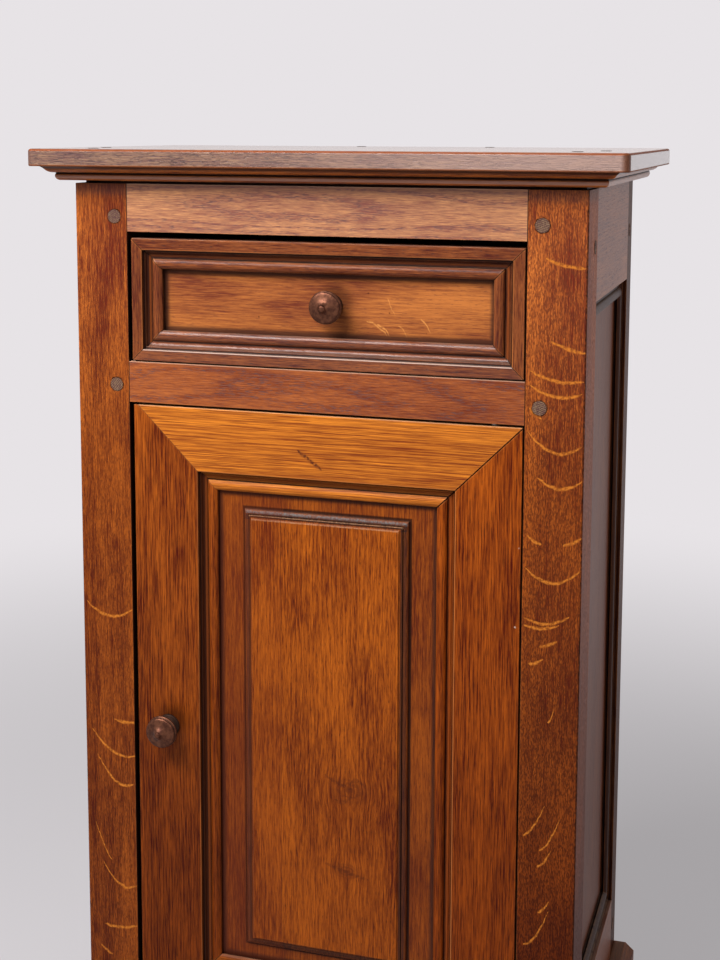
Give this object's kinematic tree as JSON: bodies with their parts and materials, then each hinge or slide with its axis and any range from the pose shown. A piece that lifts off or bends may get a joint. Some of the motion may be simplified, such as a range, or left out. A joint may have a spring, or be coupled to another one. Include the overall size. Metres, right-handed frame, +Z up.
{
  "type": "cupboard",
  "caption": "Small antique oak bedside cupboard with a drawer over a mitred panelled door, pegged frame, moulded top, bevelled plinth and turned bronze knobs.",
  "frame": {"origin": "On the floor, under the middle of the whole outline", "axes": "+Z up, +X to the right and +Y to the back as the front is faced"},
  "size_m": [0.518, 0.307, 0.9003],
  "materials": {
    "frame_oak": "old waxed oak",
    "panel_oak": "old waxed oak",
    "peg_oak": "end grain, waxed",
    "inner_oak": "dry, unfinished",
    "knob_bronze": "aged bronze colour",
    "steel": "dull steel"
  },
  "bodies": {
    "case": {"back_board_left": "inner_oak", "back_board_middle": "inner_oak", "back_board_right": "inner_oak", "back_bottom_rail": "inner_oak", "back_middle_rail": "inner_oak", "back_top_rail": "inner_oak", "bottom_board": "inner_oak", "bottom_cleats": "inner_oak", "case_pegs": "peg_oak", "door_stop": "inner_oak", "drawer_kickers": "inner_oak", "drawer_runner_left": "inner_oak", "drawer_runner_right": "inner_oak", "drawer_stops": "inner_oak", "front_bottom_rail": "frame_oak", "front_middle_rail": "frame_oak", "front_top_rail": "frame_oak", "pivot_pin_bottom": "steel", "pivot_pin_top": "steel", "plinth_front": "frame_oak", "plinth_left": "frame_oak", "plinth_right": "frame_oak", "post_front_left": "frame_oak", "post_front_right": "frame_oak", "post_rear_left": "frame_oak", "post_rear_right": "frame_oak", "shelf": "inner_oak", "shelf_cleats": "inner_oak", "side_bottom_rail_left": "frame_oak", "side_bottom_rail_right": "frame_oak", "side_moulding_left": "frame_oak", "side_moulding_right": "frame_oak", "side_panel_left": "panel_oak", "side_panel_right": "panel_oak", "side_top_rail_left": "frame_oak", "side_top_rail_right": "frame_oak", "top_board": "frame_oak", "top_moulding_front": "frame_oak", "top_moulding_left": "frame_oak", "top_moulding_right": "frame_oak", "top_pegs": "peg_oak"},
    "drawer": {"drawer_back": "inner_oak", "drawer_bottom": "inner_oak", "drawer_front_bottom": "frame_oak", "drawer_front_left": "frame_oak", "drawer_front_right": "frame_oak", "drawer_front_top": "frame_oak", "drawer_knob": "knob_bronze", "drawer_knob_screw": "steel", "drawer_panel": "panel_oak", "drawer_side_left": "inner_oak", "drawer_side_right": "inner_oak"},
    "door": {"door_bottom_rail": "frame_oak", "door_hinge_stile": "frame_oak", "door_knob": "knob_bronze", "door_knob_screw": "steel", "door_lock_stile": "frame_oak", "door_panel": "panel_oak", "door_top_rail": "frame_oak"}
  },
  "joints": [
    {"name": "drawer_slide", "type": "slide", "parent": "case", "child": "drawer", "axis": [0, -1, 0], "range_m": [0, 0.19]},
    {"name": "door_swing", "type": "hinge", "parent": "case", "child": "door", "pos_m": [0.1498, -0.1195, 0.1], "axis": [0, 0, 1], "range_deg": [0, 135]}
  ]
}
